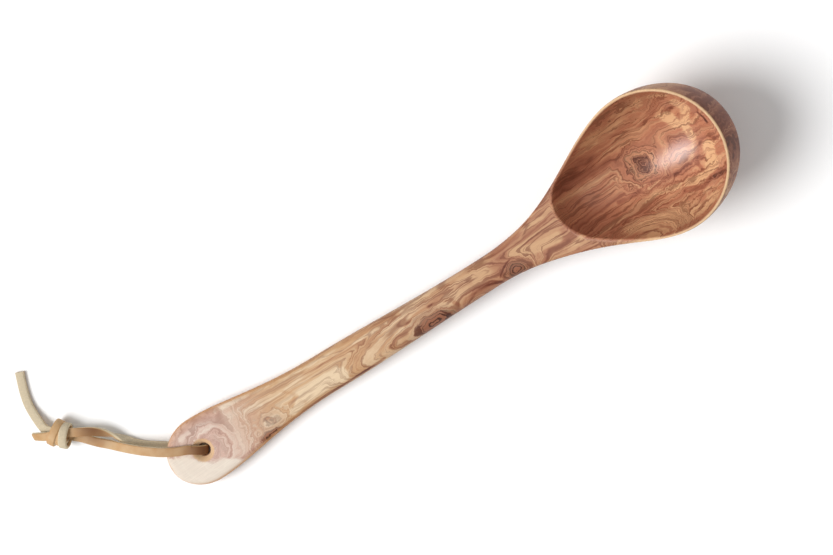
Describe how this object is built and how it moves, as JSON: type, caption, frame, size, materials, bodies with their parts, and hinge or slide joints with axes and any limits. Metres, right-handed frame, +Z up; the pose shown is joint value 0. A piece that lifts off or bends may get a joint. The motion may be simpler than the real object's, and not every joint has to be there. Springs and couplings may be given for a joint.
{
  "type": "wooden ladle",
  "caption": "Carved wooden ladle with a deep tilted oval bowl, slim handle and flat paddle end, with a knotted leather thong looped through a countersunk hanging hole.",
  "frame": {"origin": "on the surface that the ladle lies on, under the middle of the ladle body's box", "axes": "+X from the handle's end towards the tip of the bowl, +Z up out of the bowl"},
  "size_m": [0.4023, 0.1235, 0.0648],
  "materials": {
    "olive_wood": "oiled satin",
    "thong_leather": "matte"
  },
  "bodies": {
    "ladle": {"ladle_body": "olive_wood"},
    "thong": {"thong_bight": "thong_leather", "thong_over_strand": "thong_leather", "thong_under_strand": "thong_leather", "thong_knot": "thong_leather", "thong_long_end": "thong_leather", "thong_short_end": "thong_leather"}
  },
  "joints": [
    {"name": "thong_swivel", "type": "hinge", "parent": "ladle", "child": "thong", "pos_m": [-0.15158, 0.0005, 0.00639], "axis": [0, 0, 1], "range_deg": [-60, 130]}
  ]
}
